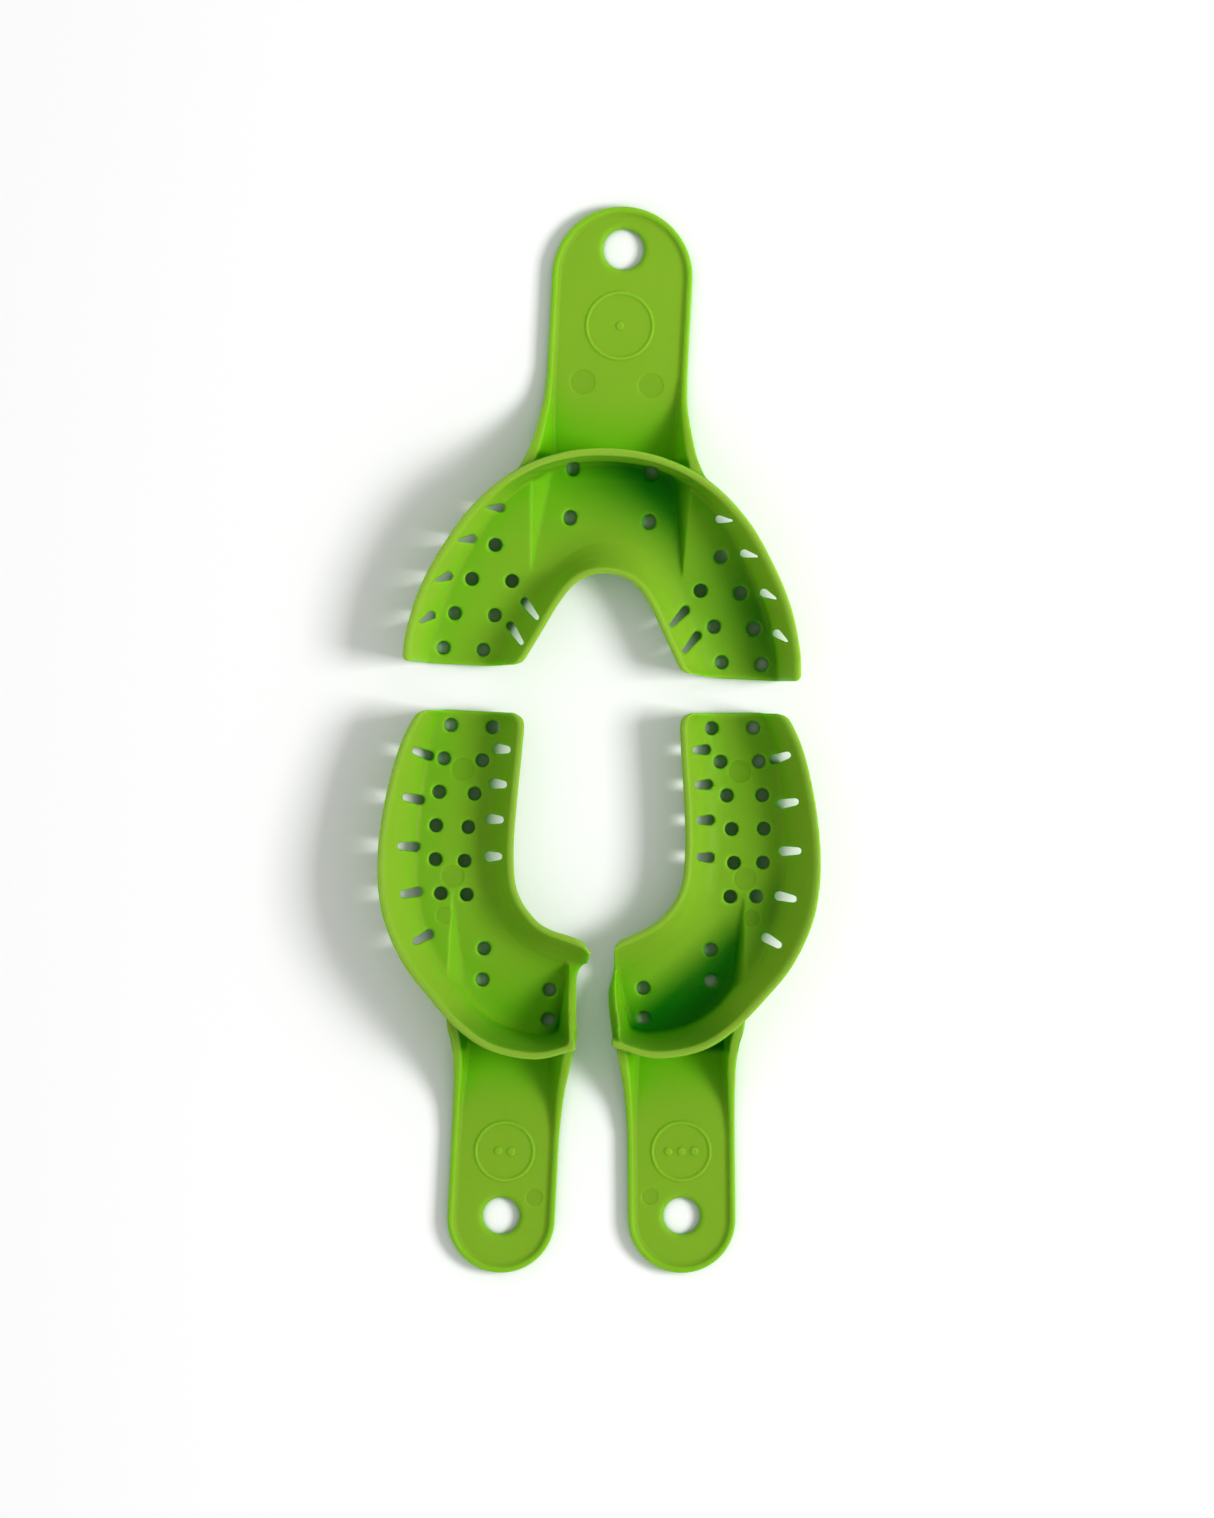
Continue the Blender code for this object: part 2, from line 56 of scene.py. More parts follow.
# Grid spacing of the distance field and the space around a tray.
PITCH = 0.30
MARGIN = 1.2

# Thicknesses and heights shared by the three trays.
WALL = 1.5
WEB = 1.8
FRONT_RIM = 15.0
HEEL_RIM = 11.5
LINGUAL_RIM = 9.0
STEP_HEIGHT = 2.8
BORDER_HEIGHT = 2.55
BORDER_WIDTH = 1.05
GUSSET_WIDENING = 0.08
HANDLE_DRAFT = 0.5
END_LEAN = 0.16
FOOT_SINK = 0.05

# The top edge of a midline end wall is a straight line that starts at this distance from the
# lingual edge, at this height, and rises towards the outer rim.
END_TOP_START = 4.5
END_TOP_HEIGHT = 4.2
END_TOP_RISE = 0.85

# The deep panel rises along a curve of this power, and no side facet is narrower than this.
DEEP_RISE_POWER = 1.5
LEAST_FACET = 0.05

# Radii of the moulded edges.
RIM_EDGE = 0.62
EDGE = 0.35
SOLE_EDGE = 0.8
CORNER = 1.3
FILLET = 0.6
LINGUAL_FILLET = 1.5
HANDLE_FILLET = 0.55
HOLE_EDGE = 0.18
HANDLE_HOLE_EDGE = 0.9

# Wall profiles as (share of the spread, share of the height) from the rim down to the floor.
OUTER_PROFILE = ((0.0, 1.0), (0.20, 0.77), (0.38, 0.53), (0.54, 0.31), (0.68, 0.13), (0.80, 0.03),
                 (1.0, 0.0))
LINGUAL_PROFILE = ((0.0, 1.0), (0.16, 0.68), (0.32, 0.44), (0.48, 0.26), (0.65, 0.12), (0.82, 0.04),
                   (1.0, 0.0))

# Perforations. Floor holes stand in rows across the trough. A family of wall slots is spaced along a
# rim edge from the heel; a slot starts at its wide end, at the foot of the wall. It is set in from the
# rim edge by its inset plus, by the share "follow", the spread of a quadrant's outer wall at its y.
HOLE = 2.35
PANEL_HOLE = 2.25
PANEL_HOLE_STRETCH = 0.4
HOLE_TOP = 5.6
SLOT_TOP = 13.0
FRONT_HOLES = {"first": -16.9, "pitch": -5.95, "count": 4, "inset": 8.4, "drift": 0.57, "gap": 6.8}
FRONT_PANEL_HOLES = ((6.7, -3.4), (6.7, -11.8))
FRONT_BUCCAL = {"first": 9.2, "pitch": 7.9, "stretch": 0.0, "count": 4, "inset": 3.4, "follow": 0.0,
                "length": 2.2, "wide": 1.4, "narrow": 0.4, "lean": -38.0, "turn": 11.0}
FRONT_LINGUAL = {"first": 6.1, "pitch": 4.85, "stretch": 0.0, "count": 2, "inset": 5.35, "follow": 0.0,
                 "length": 3.5, "wide": 1.5, "narrow": 0.8, "lean": -126.0, "turn": -4.0}
QUADRANT_HOLES = {"first": -55.8, "pitch": 5.72, "count": 6, "offset": -0.6, "spread": 3.55,
                  "narrowing": 0.27}
QUADRANT_PANEL_HOLES = ((5.3, -12.9), (5.3, -18.2), (-6.2, -6.7), (-6.2, -11.8))
QUADRANT_BUCCAL = {"first": 7.5, "pitch": 8.3, "stretch": 0.17, "count": 5, "inset": 2.9, "follow": 0.5,
                   "length": 2.3, "wide": 1.65, "narrow": 1.25}
QUADRANT_LINGUAL = {"first": 7.1, "pitch": 5.95, "stretch": 0.0, "count": 4, "inset": 4.4, "follow": 0.0,
                    "length": 1.6, "wide": 1.8, "narrow": 1.3}
SPREAD_AT_Y = ((-59, -43, -28, -18), (3.6, 5.8, 7.6, 6.6))

# Relief on the handle web: a raised ring with pips in it, and the sunk faces of the ejector pins.
RING_RISE = 0.24
RING_HALF_WIDTH = 0.34
PIP_RADIUS = 0.75
PIP_PITCH = 2.2
PIN_DEPTH = 0.12
PIN_SOFTNESS = 0.12
RELIEF_CUTS = 2
RELIEF_FACE_LEVEL = 0.9
RELIEF_POINT_LEVEL = 0.85

# Where the regions of the material, the painted shade at the front and the painted light on the rims,
# start and where they are full, in mm in the tray's own frame. A level is the upward part of a
# surface's normal: 1 on a flat floor, 0 on an upright wall.
BEHIND_RIM = (0.5, 1.5)
INSIDE_LEVEL = (0.0, 0.1)
FRONT_WALL_Y = (-11.0, -3.0)
FRONT_WALL_LEVEL = (0.8, 0.6)
FRONT_WALL_HEIGHT = (2.2, 3.7)
RIM_LEVEL = (0.72, 0.92)
RIM_HEIGHT = (LINGUAL_RIM - 0.7, LINGUAL_RIM - 0.3)

# How far, in metres, the plastic and the floor look for what hems them in, to darken it with painted
# shade.
HOLLOW_REACH = 0.014
CREVICE_REACH = 0.006

# Colours of the plastic in the open, with painted shade in a hollow, with painted deep shade at the
# front and with painted light on the rims, and the painted dark green shade that the floor takes in the
# crevice under a tray.
OPEN_GREEN = (0.232, 0.44, 0.022, 1)
PAINTED_HOLLOW_SHADE_GREEN = (0.120, 0.46, 0.0, 1)
PAINTED_DEEP_SHADE_GREEN = (0.0, 0.17, 0.0, 1)
PAINTED_RIM_LIGHT_GREEN = (0.260, 0.40, 0.045, 1)
PAINTED_FLOOR_SHADE_GREEN = (0.08, 0.26, 0.03, 1)

# How the painted shade blends. Openness runs from 0, shut in, to 1, open; the painted deep shade fades
# out between these two heights in metres.
HOLLOW_TO_OPEN = (0.42, 0.93)
SHADE_HEIGHT = (0.0022, 0.0048)
FRONT_WALL_SHADE = 0.55
CREVICE_TO_OPEN = (0.22, 0.60)
OPENNESS_SAMPLES = 8
DRIFT = 0.05
PIN_POLISH = 0.94

# Textures of the plastic: noises as (scale per metre, detail), shifted per tray by its seed, then
# gloss, flow lines and grain, with their depths in metres.
SEED_SHIFT = (0.13, 0.07, 0.0)
DRIFT_NOISE = (55, 3)
ROUGHNESS_NOISE = (420, 4)
GRAIN_NOISE = (1900, 2)
ROUGHNESS = (0.36, 0.50)
FLOW = {"Scale": 90, "Distortion": 7, "Detail Scale": 1.4}
FLOW_BUMP = {"Strength": 0.06, "Distance": 0.00006}
GRAIN_BUMP = {"Strength": 0.12, "Distance": 0.00005}
SHADER = {
    "IOR": 1.5,
    "Specular IOR Level": 0.10,
    "Specular Tint": (0.65, 1.0, 0.35, 1),
    "Subsurface Weight": 1.0,
    "Subsurface Radius": (0.35, 1.0, 0.12),
    "Subsurface Scale": 0.0020,
}

# The stage, in metres: a pale floor just under the trays, one soft light from the right, even white
# surroundings and a long lens straight above.
FLOOR_WHITES = ((0.89, 0.89, 0.89, 1), (0.92, 0.92, 0.92, 1))
FLOOR_MOTTLE_SCALE = 6
FLOOR_ROUGHNESS = 0.8
FLOOR_HALF = 3.0
FLOOR_DROP = 0.00005
KEY_PLACE = (0.85, -0.03, 0.80)
KEY_SIZE = 0.40
KEY_POWER = 11.4
WORLD_STRENGTH = 0.61
CAMERA_PLACE = (0.00135, -0.00328, 1.2)
CAMERA_SENSOR = 36.0
VIEW_HEIGHT = 0.2581

# A station row is the outer rim edge (x, y), the lingual rim edge (x, y), then how far the outer
# wall and the lingual wall spread inwards between rim and floor. Rows run from heel to heel, or
# from heel to midline.
FRONT_HALF = (
    (0.0, 0.0, 0.0, -21.2, 0.5, 8.8),
    (9.0, -1.2, 1.9, -21.4, 0.6, 8.4),
    (17.0, -4.9, 3.9, -22.2, 1.7, 7.2),
    (23.6, -11.0, 5.8, -23.8, 3.2, 6.0),
    (28.4, -18.4, 7.9, -26.9, 4.0, 6.0),
    (31.6, -25.2, 9.8, -30.5, 4.2, 6.0),
    (33.4, -32.0, 11.8, -34.2, 4.2, 5.8),
    (33.8, -36.0, 13.1, -36.4, 4.0, 5.5),
    (33.9, -37.6, 14.9, -37.6, 4.0, 5.5),
)
QUADRANT = (
    (17.6, -58.4, 1.8, -58.4, 3.4, 4.6),
    (19.2, -56.7, 0.3, -56.9, 3.6, 5.0),
    (21.4, -51.5, 0.3, -52.5, 4.4, 5.2),
    (23.2, -43.5, 0.7, -44.5, 5.8, 5.2),
    (24.1, -35.0, 0.9, -36.5, 7.0, 5.4),
    (23.8, -28.0, 0.4, -30.3, 7.4, 6.0),
    (22.3, -21.8, -0.7, -27.2, 7.2, 6.8),
    (18.9, -15.2, -2.2, -25.1, 6.4, 7.6),
    (14.2, -9.7, -4.2, -23.2, 5.4, 8.0),
    (9.0, -4.6, -6.3, -22.0, 4.8, 8.0),
    (3.4, -1.3, -8.1, -21.2, 4.6, 8.0),
    (-4.0, -0.2, -9.7, -20.5, 3.9, 8.0),
    (-9.8, -1.6, -10.9, -19.8, 3.0, 8.0),
    (-11.3, -2.1, -12.4, -17.8, 3.0, 8.0),
)

# The last rows of the quadrant tray whose lingual rim runs out into a small ear.
EARED_END = (
    (9.0, -4.6, -6.3, -22.2, 4.8, 8.0),
    (3.4, -1.3, -8.2, -21.7, 4.6, 8.0),
    (-4.0, -0.2, -9.9, -21.25, 3.9, 8.0),
    (-9.8, -1.6, -11.4, -20.6, 3.0, 8.0),
    (-11.3, -2.1, -12.6, -19.6, 3.0, 8.0),
)
STEPS_PER_SPAN = 10
STEPS_FOR_LENGTH = 6
STEPS_FOR_EDGE = 4
DIRECTION_STEP = 0.5

# How far the stations run on past each end of a trough, the plan values away from the trough, and
# the shares of the width between which the rim's slope across the trough goes on.
END_RUN = 8
AWAY = {"s": -50.0, "width": 10.0}
VERY_FAR = 1e6
TINY = 1e-9
TOP_SHARES = (-0.2, 1.2)

# The field is divided by its slope, but never by less than this, and points are moved onto the
# surface in a few damped rounds.
LEAST_SLOPE = 0.3
LEAST_SLOPE_SQUARED = 0.1
PROJECT_ROUNDS = 3
PROJECT_DAMPING = 0.8


# ---------------------------------------------------------------- curves and plan coordinates

def smooth_rows(rows, steps):
    """Rows of numbers on a Catmull-Rom curve through the given rows."""
    table = np.array(rows, dtype=float)
    padded = np.vstack([2 * table[0] - table[1], table, 2 * table[-1] - table[-2]])
    out = []
    for i in range(len(table) - 1):
        p0, p1, p2, p3 = padded[i:i + 4]
        bend = 2 * p0 - 5 * p1 + 4 * p2 - p3
        twist = 3 * p1 - p0 - 3 * p2 + p3
        for t in np.arange(steps) / steps:
            out.append(0.5 * (2 * p1 + (p2 - p0) * t + bend * t * t + twist * t * t * t))
    out.append(table[-1])
    return np.array(out)


def mirrored_rows(half):
    """Full arch of stations from the half that starts on the midline."""
    left = [(-row[0], row[1], -row[2], row[3], row[4], row[5]) for row in reversed(half[1:])]
    return left + list(half)


def edge_x(rows, column, y):
    """The x of a rim edge at a given y, on the +X side of the tray."""
    stations = smooth_rows(rows, STEPS_FOR_EDGE)
    points = sorted((row[column + 1], row[column]) for row in stations if row[column] > -1)
    return float(np.interp(y, [p[0] for p in points], [p[1] for p in points]))


def along_edge(rows, column, distance):
    """Point and unit direction at a distance along a rim edge, from the first row."""
    path = smooth_rows(rows, STEPS_FOR_LENGTH)[:, column:column + 2]
    lengths = np.concatenate([[0.0], np.cumsum(np.linalg.norm(np.diff(path, axis=0), axis=1))])
    here, ahead = [np.array([np.interp(d, lengths, path[:, 0]), np.interp(d, lengths, path[:, 1])])
                   for d in (distance, distance + DIRECTION_STEP)]
    return here, (ahead - here) / np.linalg.norm(ahead - here)


def edge_frame(rows, column, distance):
    """Point at a distance along a rim edge, and the unit direction that points out of the tray."""
    point, direction = along_edge(rows, column, distance)
    outward = np.array((direction[1], -direction[0]))
    return point, outward if column == 0 else -outward


def end_normal(row, neighbour):
    """Unit plan direction that points out of the trough at an end station."""
    across = row[2:4] - row[0:2]
    normal = np.array([across[1], -across[0]]) / np.linalg.norm(across)
    middle = (row[0:2] + row[2:4]) / 2
    outward = middle - (neighbour[0:2] + neighbour[2:4]) / 2
    return normal if np.dot(normal, outward) > 0 else -normal


class Plan:
    """The station values at every plan point of a grid: s is the distance in from the outer rim edge,
    width the distance from rim to rim, and ends the distances past the two ends of the trough."""

    def __init__(self, tray, x, y):
        stations = smooth_rows(tray["rows"], STEPS_PER_SPAN)
        ends = []
        for row, neighbour in ((stations[0], stations[1]), (stations[-1], stations[-2])):
            normal = end_normal(row, neighbour)
            past = row.copy()
            past[0:2] += normal * END_RUN
            past[2:4] += normal * END_RUN
            ends.append((row, normal, past))
        stations = np.vstack([ends[0][2], stations, ends[1][2]])
        outer = stations[:, 0:2]
        across = stations[:, 2:4] - outer
        width = np.linalg.norm(across, axis=1)
        across = across / width[:, None]
        shape = np.broadcast(x, y).shape
        overrun = np.full(shape, VERY_FAR)
        self.s = np.full(shape, AWAY["s"])
        self.width = np.full(shape, AWAY["width"])
        self.spread_outer = np.ones(shape)
        self.spread_lingual = np.ones(shape)
        self.station_y = np.zeros(shape)
        for i in range(len(stations) - 1):
            a = (x - outer[i, 0]) * across[i, 1] - (y - outer[i, 1]) * across[i, 0]
            j = i + 1
            b = (x - outer[j, 0]) * across[j, 1] - (y - outer[j, 1]) * across[j, 0]
            share = a / np.where(np.abs(a - b) < TINY, TINY, a - b)
            along = [outer[i, k] + (outer[j, k] - outer[i, k]) * share for k in (0, 1)]
            lean = [across[i, k] + (across[j, k] - across[i, k]) * share for k in (0, 1)]
            s = ((x - along[0]) * lean[0] + (y - along[1]) * lean[1]) / np.hypot(*lean)
            w = width[i] + (width[j] - width[i]) * share
            over = np.maximum(np.maximum(-s, s - w), 0)
            take = (share >= 0) & (share <= 1) & (over < overrun)
            overrun = np.where(take, over, overrun)
            self.s = np.where(take, s, self.s)
            self.width = np.where(take, w, self.width)
            self.station_y = np.where(take, along[1], self.station_y)
            for name, column in (("spread_outer", 4), ("spread_lingual", 5)):
                value = stations[i, column] + (stations[j, column] - stations[i, column]) * share
                setattr(self, name, np.where(take, value, getattr(self, name)))
        self.ends = [(x - row[0]) * normal[0] + (y - row[1]) * normal[1] for row, normal, past in ends]
        self.rim = rim_height(tray, self.station_y)


# ---------------------------------------------------------------- distance fields

def round_and(a, b, radius):
    """Both: the overlap of two fields, its edge rounded."""
    corner = np.hypot(np.maximum(radius + a, 0), np.maximum(radius + b, 0))
    return np.minimum(-radius, np.maximum(a, b)) + corner


def round_or(a, b, radius):
    """Either: the union of two fields, its seam filleted."""
    corner = np.hypot(np.maximum(radius - a, 0), np.maximum(radius - b, 0))
    return np.maximum(radius, np.minimum(a, b)) - corner


def true_distance(field, pitch):
    """Rescale a field so that it changes by one per millimetre."""
    slopes = np.gradient(field, pitch)
    return field / np.maximum(np.sqrt(sum(s * s for s in slopes)), LEAST_SLOPE)


def rim_height(tray, y):
    """Height of the outer rim, which falls from the front to the heel."""
    heel_y = tray["rows"][0][1]
    return FRONT_RIM - (FRONT_RIM - HEEL_RIM) * np.clip(y / heel_y, 0.0, 1.0)


def floor_height(tray, x, y):
    """Height of the trough floor: a deep front panel, side facets and the raised rear floor."""
    apex_x, apex_y = tray["apex"]
    flat_to, heel_flat = tray["flat_to"], tray["heel_flat"]
    x, y = np.broadcast_arrays(x, y)
    rear = WEB + STEP_HEIGHT * np.clip((y - heel_flat) / (flat_to - heel_flat), 0, 1)
    apex_rise = STEP_HEIGHT * (apex_y - heel_flat) / (flat_to - heel_flat)
    deep = WEB + apex_rise * np.clip((flat_to - y) / (flat_to - apex_y), 0, 1) ** DEEP_RISE_POWER
    share = np.clip((y - apex_y) / -apex_y, 0, None)
    foot = apex_x + (tray["foot_x"] - apex_x) * share
    top = apex_x + (tray["top_x"] - apex_x) * share
    side = x if tray["one_sided"] else np.abs(x)
    across = np.clip((side - foot) / np.maximum(top - foot, LEAST_FACET), 0, 1)
    return np.where(y < apex_y, rear, deep + (np.maximum(rear, deep) - deep) * across)


def wall_inset(profile, spread, height, floor, z):
    """How far in from the rim edge a wall stands at height z."""
    rise = (z - floor) / (height - floor)
    shares, rises = np.array(profile[::-1]).T
    inset = np.interp(rise, rises, shares)
    below = (shares[0] - shares[1]) / (rises[1] - rises[0])
    return spread * (inset + np.maximum(-rise, 0) * below)


def trough_field(tray, plan, x, y, z, pitch):
    """The trough and the cavity in it. A one-sided trough has an end wall at the midline."""
    floor = floor_height(tray, x, y)
    sides = []
    for inset, base in ((0.0, -FOOT_SINK), (WALL, WEB - FOOT_SINK)):
        outer = inset + wall_inset(OUTER_PROFILE, plan.spread_outer, plan.rim, base, z) - plan.s
        lingual = (inset + wall_inset(LINGUAL_PROFILE, plan.spread_lingual, LINGUAL_RIM, base, z)
                   - plan.width + plan.s)
        sides.append((true_distance(outer, pitch), true_distance(lingual, pitch)))
    (outer, lingual), (inner_outer, inner_lingual) = sides
    cavity = round_and(inner_lingual, floor - z, LINGUAL_FILLET)
    cavity = round_and(inner_outer, cavity, FILLET)
    heel = plan.ends[0] + 0 * z
    far = plan.ends[1] + 0 * z
    if tray["one_sided"]:
        far = far + END_LEAN * (plan.rim - z)
        end = tray["end"]
        from_lingual = plan.width - plan.s
        across = from_lingual - end["place"]
        if end["ear"]:
            across = np.maximum(across, 0.0)
        swell = end["bulge"] * np.exp(-((across / end["reach"]) ** 2))
        closed = round_and(lingual, far - swell, end["corner"])
        around = round_and(round_and(outer, heel, CORNER), closed, EDGE)
        inner_end = far + WALL if end["ear"] else far + WALL - swell
        end_top = END_TOP_HEIGHT + END_TOP_RISE * (from_lingual - END_TOP_START)
        walled = round_and(cavity, inner_end, FILLET)
        cavity = np.minimum(walled, round_and(cavity, end_top - z, EDGE))
    else:
        ends = np.maximum(heel, far)
        around = round_and(round_and(outer, ends, CORNER), round_and(lingual, ends, CORNER), EDGE)
    top = z - plan.rim + (plan.rim - LINGUAL_RIM) * np.clip(plan.s / plan.width, *TOP_SHARES)
    skin = round_and(round_and(around, floor - WEB - z, SOLE_EDGE), top, RIM_EDGE)
    return round_and(skin, -cavity, RIM_EDGE), cavity


def handle_field(tray, x, y, z, pitch):
    """The handle: a web with a border, and gussets that climb to the front rim."""
    half = tray["half_width"]
    centre = tray["tip"] - half
    foot = half - HANDLE_DRAFT
    rims = []
    for rows in tray["gussets"]:
        curve = smooth_rows(rows, STEPS_FOR_LENGTH)
        rims.append((np.interp(y, curve[:, 0], curve[:, 1]), np.interp(y, curve[:, 0], curve[:, 2])))
    (right, right_top), (left, left_top) = rims
    level = np.where(x > 0, right_top, left_top)
    reach_right = foot + (right - foot) * z / right_top
    reach_left = foot + (left - foot) * z / left_top
    straight = np.maximum(x - reach_right, -x - reach_left)
    lean = HANDLE_DRAFT * (1 - z / BORDER_HEIGHT)
    tip = np.hypot(x, y - centre) - half + lean
    outline = true_distance(np.where(y > centre, tip, straight), pitch)
    start = tray["gussets"][0][0][0] - y
    body = round_and(outline, z - level, EDGE)
    body = round_and(round_and(body, -z, EDGE), start + 0 * z, EDGE)
    border = BORDER_WIDTH + GUSSET_WIDENING * (level - BORDER_HEIGHT)
    space = round_and(outline + border, WEB - z, HANDLE_FILLET)
    return round_and(body, -space, EDGE)


def circle(cx, cy, diameter):
    """A round hole, as a slot of no length."""
    return (cx, cy, 1.0, 0.0, 0.0, diameter / 2, diameter / 2)


def slot(start, direction, length, wide, narrow):
    """A slot from the centre of its wide end, along direction, with the two end widths."""
    unit = np.array(direction) / np.linalg.norm(direction)
    return (start[0], start[1], unit[0], unit[1], length, wide / 2, narrow / 2)


def cut_field(shapes, x, y):
    """Plan distance to the nearest of a list of holes and slots."""
    best = np.full(np.broadcast(x, y).shape, VERY_FAR)
    for cx, cy, ux, uy, length, wide, narrow in shapes:
        along = np.clip((x - cx) * ux + (y - cy) * uy, 0, length)
        radius = wide + (narrow - wide) * along / max(length, TINY)
        best = np.minimum(best, np.hypot(x - cx - along * ux, y - cy - along * uy) - radius)
    return best


# ---------------------------------------------------------------- perforations

def wall_slots(rows, column, family):
    """Starts and directions of one family of slots, set in from a rim edge."""
    slots = []
    for i in range(family["count"]):
        distance = family["first"] + family["pitch"] * i + family["stretch"] * i * i
        point, outward = edge_frame(rows, column, distance)
        inset = family["inset"] + family["follow"] * float(np.interp(point[1], *SPREAD_AT_Y))
        direction = outward
        if "lean" in family:
            lean = math.radians(family["lean"] + family["turn"] * i)
            direction = np.array((math.cos(lean), math.sin(lean)))
        slots.append((point - inset * outward, direction))
    return slots


def front_perforations(rows):
    """The floor holes and the wall slots of the front tray, on both sides."""
    holes = []
    slots = []
    for sign in (-1, 1):
        for i in range(FRONT_HOLES["count"]):
            y = FRONT_HOLES["first"] + FRONT_HOLES["pitch"] * i
            x = edge_x(rows, 0, y) - FRONT_HOLES["inset"] + FRONT_HOLES["drift"] * i
            holes.append(circle(sign * x, y, HOLE))
            if i > 0:
                holes.append(circle(sign * (x - FRONT_HOLES["gap"]), y, HOLE))
        for x, y in FRONT_PANEL_HOLES:
            holes.append(slot((sign * x, y), (0, 1), PANEL_HOLE_STRETCH, PANEL_HOLE, PANEL_HOLE))
        for column, family in ((0, FRONT_BUCCAL), (2, FRONT_LINGUAL)):
            for start, direction in wall_slots(rows[::-1], column, family):
                slots.append(slot((sign * start[0], start[1]), (sign * direction[0], direction[1]),
                                  family["length"], family["wide"], family["narrow"]))
    return holes, slots


def quadrant_perforations(rows):
    """The floor holes and the wall slots of a quadrant tray."""
    holes = []
    slots = []
    for i in range(QUADRANT_HOLES["count"]):
        y = QUADRANT_HOLES["first"] + QUADRANT_HOLES["pitch"] * i
        middle = (edge_x(rows, 0, y) + edge_x(rows, 2, y)) / 2 + QUADRANT_HOLES["offset"]
        spread = QUADRANT_HOLES["spread"] - QUADRANT_HOLES["narrowing"] * i
        holes += [circle(middle - spread, y, HOLE), circle(middle + spread, y, HOLE)]
    for x, y in QUADRANT_PANEL_HOLES:
        holes.append(circle(x, y, HOLE))
    for column, family in ((0, QUADRANT_BUCCAL), (2, QUADRANT_LINGUAL)):
        for start, direction in wall_slots(rows, column, family):
            slots.append(slot(start, direction, family["length"], family["wide"], family["narrow"]))
    return holes, slots


# ---------------------------------------------------------------- field to mesh

CELL_CORNERS = [(i, j, k) for i in (0, 1) for j in (0, 1) for k in (0, 1)]


def surface_net(field, origin, pitch):
    """Vertices and quads of the zero surface: one vertex in every grid cell that it crosses."""
    inside = field < 0
    count = np.zeros(tuple(n - 1 for n in field.shape), dtype=np.int8)
    for i, j, k in CELL_CORNERS:
        count += inside[i:i - 1 or None, j:j - 1 or None, k:k - 1 or None]
    cells = np.argwhere((count > 0) & (count < 8))
    index = np.full(count.shape, -1, dtype=np.int64)
    index[tuple(cells.T)] = np.arange(len(cells))
    total = np.zeros((len(cells), 3))
    crossings = np.zeros(len(cells))
    for a in CELL_CORNERS:
        for axis in range(3):
            if a[axis]:
                continue
            b = tuple(1 if n == axis else a[n] for n in range(3))
            start = field[tuple((cells + a).T)]
            stop = field[tuple((cells + b).T)]
            crossed = (start < 0) != (stop < 0)
            share = start / np.where(crossed, start - stop, 1.0)
            point = np.array(a) + share[:, None] * (np.array(b) - np.array(a))
            total[crossed] += point[crossed]
            crossings += crossed
    points = origin + (cells + total / crossings[:, None]) * pitch
    quads = []
    for axis in range(3):
        u, v = [n for n in (0, 1, 2) if n != axis]
        first = np.moveaxis(inside, axis, 0)
        changed = np.moveaxis(first[:-1] != first[1:], 0, axis)
        leaving = np.moveaxis(first[:-1], 0, axis)
        edges = np.argwhere(changed)
        edges = edges[(edges[:, u] > 0) & (edges[:, v] > 0)]
        loop = []
        for du, dv in ((1, 1), (0, 1), (0, 0), (1, 0)):
            cell = edges.copy()
            cell[:, u] -= du
            cell[:, v] -= dv
            loop.append(index[tuple(cell.T)])
        quad = np.stack(loop, axis=1)
        flip = leaving[tuple(edges.T)] ^ (axis != 1)
        quad[flip] = quad[flip][:, ::-1]
        quads.append(quad)
    return points, np.vstack(quads)


def project(points, field, origin, pitch):
    """Move points onto the zero surface of the field."""
    slopes = np.stack(np.gradient(field, pitch), axis=-1)
    limit = np.array(field.shape) - 1.001
    for _ in range(PROJECT_ROUNDS):
        place = np.clip((points - origin) / pitch, 0, limit)
        low = np.floor(place).astype(int)
        part = place - low
        value = np.zeros(len(points))
        slope = np.zeros((len(points), 3))
        for offset in CELL_CORNERS:
            weight = np.prod(np.where(offset, part, 1 - part), axis=1)
            corner = tuple((low + offset).T)
            value += weight * field[corner]
            slope += weight[:, None] * slopes[corner]
        steep = np.maximum((slope ** 2).sum(axis=1), LEAST_SLOPE_SQUARED)
        points = points - PROJECT_DAMPING * (value / steep)[:, None] * slope
    return points


def new_mesh(name, points, faces, material):
    """Smooth-shaded object from points and faces."""
    mesh = bpy.data.meshes.new(name)
    mesh.from_pydata(points.tolist(), [], faces.tolist())
    mesh.polygons.foreach_set("use_smooth", np.ones(len(mesh.polygons), dtype=bool))
    mesh.materials.append(material)
    item = bpy.data.objects.new(name, mesh)
    bpy.context.scene.collection.objects.link(item)
    return item


# ---------------------------------------------------------------- the three trays

# The deep front panel of a floor ends at a side facet whose front edge runs from foot_x and top_x to
# the apex; the panel starts to rise at flat_to, and the raised floor dies out at heel_flat. A gusset
# row is (y, half width, height), right side first. A pin is (x, y, radius). The painted deep shade is
# half there at the x and y of "shade" and grows along its direction, over its softness. An end wall
# swells by its bulge, at its place from the lingual edge and over its reach; an ear swells at the
# corner.
FRONT_TRAY = {
    "rows": mirrored_rows(FRONT_HALF),
    "one_sided": False,
    "foot_x": 9.6, "top_x": 13.8, "apex": (12.8, -21.0), "flat_to": -9.0, "heel_flat": -33.4,
    "half_width": 12.0, "tip": 41.7,
    "gussets": (((-5.0, 16.4, 13.6), (-1.4, 14.6, 11.6), (2.0, 13.6, 8.4), (5.5, 12.8, 5.5),
                 (9.0, 12.2, 3.5), (13.5, 12.0, BORDER_HEIGHT)),) * 2,
    "hole_y": 34.4, "hole": 6.9,
    "ring_y": 21.4, "ring": 11.2,
    "pins": ((-5.8, 11.5, 2.2), (5.8, 11.5, 2.2)),
    "pips": 1,
    "shade": {"x": 3.2, "y": -12.2, "direction": (0.73, 0.69), "softness": 13.0},
    "perforations": front_perforations,
}
